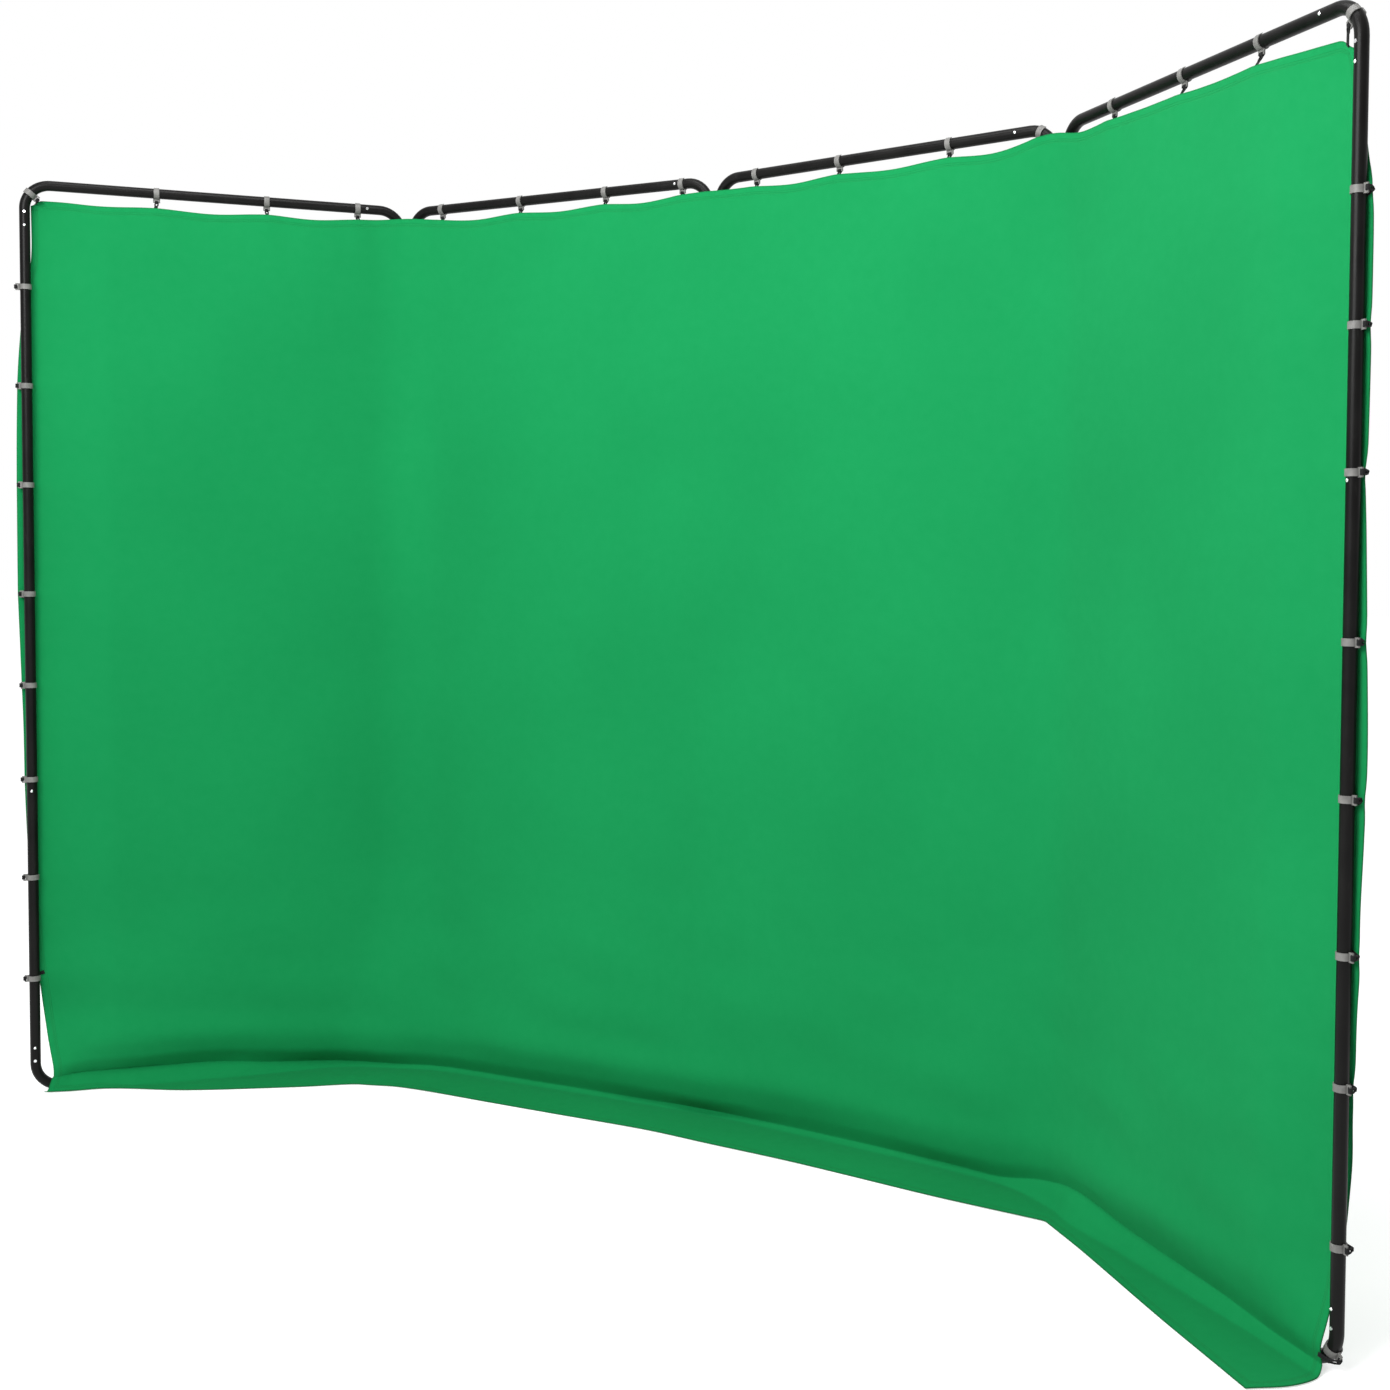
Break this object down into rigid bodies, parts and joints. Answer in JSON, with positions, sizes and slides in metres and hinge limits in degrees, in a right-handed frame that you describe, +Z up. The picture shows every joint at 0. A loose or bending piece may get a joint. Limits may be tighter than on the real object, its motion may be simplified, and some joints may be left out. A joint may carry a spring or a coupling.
{
  "type": "collapsible backdrop panel",
  "caption": "Free-standing curved photographic backdrop: hinged tube frames carrying one clipped-on green cloth that runs down to a skirt on the floor.",
  "frame": {"origin": "on the floor, at the middle of the underside of the skirt in front of the second panel from the left", "axes": "+X along that panel to the right as seen from the front, -Y towards the viewer in front of the cloth, +Z up"},
  "size_m": [3.2956, 0.9394, 2.3019],
  "materials": {
    "frame_black": "satin powder coat on aluminium tube",
    "sleeve_metal": "bare drawn tube",
    "button_metal": "bright plated steel",
    "rivet_metal": "bright rivet",
    "clip_grey": "moulded grey plastic",
    "elastic_black": "woven elastic",
    "cloth_green": "matt brushed knit in chroma green",
    "hinge_black": "moulded glass-filled nylon",
    "bolt_metal": "zinc plated"
  },
  "bodies": {
    "panel_1": {"panel_1_top_rail": "frame_black", "panel_1_bottom_rail": "frame_black", "panel_1_elbows": "frame_black", "panel_1_left_upper_post": "frame_black", "panel_1_left_lower_post": "frame_black", "panel_1_right_upper_post": "frame_black", "panel_1_right_lower_post": "frame_black", "panel_1_couplers": "sleeve_metal", "panel_1_rivets": "rivet_metal", "panel_1_clips": "clip_grey", "panel_1_elastics": "elastic_black", "panel_1_cloth": "cloth_green", "hinge_1_clamps": "hinge_black", "hinge_1_bolts": "bolt_metal"},
    "buttons_1": {"panel_1_snap_buttons": "button_metal"},
    "panel_2": {"panel_2_top_rail": "frame_black", "panel_2_bottom_rail": "frame_black", "panel_2_elbows": "frame_black", "panel_2_left_upper_post": "frame_black", "panel_2_left_lower_post": "frame_black", "panel_2_right_upper_post": "frame_black", "panel_2_right_lower_post": "frame_black", "panel_2_couplers": "sleeve_metal", "panel_2_rivets": "rivet_metal", "panel_2_clips": "clip_grey", "panel_2_elastics": "elastic_black", "panel_2_cloth": "cloth_green", "hinge_2_clamps": "hinge_black", "hinge_2_bolts": "bolt_metal"},
    "buttons_2": {"panel_2_snap_buttons": "button_metal"},
    "panel_3": {"panel_3_top_rail": "frame_black", "panel_3_bottom_rail": "frame_black", "panel_3_elbows": "frame_black", "panel_3_left_upper_post": "frame_black", "panel_3_left_lower_post": "frame_black", "panel_3_right_upper_post": "frame_black", "panel_3_right_lower_post": "frame_black", "panel_3_couplers": "sleeve_metal", "panel_3_rivets": "rivet_metal", "panel_3_clips": "clip_grey", "panel_3_elastics": "elastic_black", "panel_3_cloth": "cloth_green", "hinge_3_clamps": "hinge_black", "hinge_3_bolts": "bolt_metal"},
    "buttons_3": {"panel_3_snap_buttons": "button_metal"},
    "panel_4": {"panel_4_top_rail": "frame_black", "panel_4_bottom_rail": "frame_black", "panel_4_elbows": "frame_black", "panel_4_left_upper_post": "frame_black", "panel_4_left_lower_post": "frame_black", "panel_4_right_upper_post": "frame_black", "panel_4_right_lower_post": "frame_black", "panel_4_couplers": "sleeve_metal", "panel_4_rivets": "rivet_metal", "panel_4_clips": "clip_grey", "panel_4_elastics": "elastic_black", "panel_4_cloth": "cloth_green"},
    "buttons_4": {"panel_4_snap_buttons": "button_metal"}
  },
  "joints": [
    {"name": "hinge_1_fold", "type": "hinge", "parent": "panel_2", "child": "panel_1", "pos_m": [-0.475, 0.1025, 0], "axis": [0, 0, 1], "range_deg": [-47.5, 27.5]},
    {"name": "hinge_2_fold", "type": "hinge", "parent": "panel_2", "child": "panel_3", "pos_m": [0.475, 0.1025, 0], "axis": [0, 0, -1], "range_deg": [-9, 66]},
    {"name": "hinge_3_fold", "type": "hinge", "parent": "panel_3", "child": "panel_4", "pos_m": [1.4133, -0.04611, 0], "axis": [0, 0, -1], "range_deg": [-31, 44]},
    {"name": "panel_1_button_press", "type": "slide", "parent": "panel_1", "child": "buttons_1", "axis": [-0.7373, 0.6756, 0], "range_m": [0, 0.0042], "stiffness_N_per_m": 800},
    {"name": "panel_2_button_press", "type": "slide", "parent": "panel_2", "child": "buttons_2", "axis": [0, 1, 0], "range_m": [0, 0.0042], "stiffness_N_per_m": 800},
    {"name": "panel_3_button_press", "type": "slide", "parent": "panel_3", "child": "buttons_3", "axis": [0.1564, 0.9877, 0], "range_m": [0, 0.0042], "stiffness_N_per_m": 800},
    {"name": "panel_4_button_press", "type": "slide", "parent": "panel_4", "child": "buttons_4", "axis": [0.6428, 0.766, 0], "range_m": [0, 0.0042], "stiffness_N_per_m": 800}
  ]
}
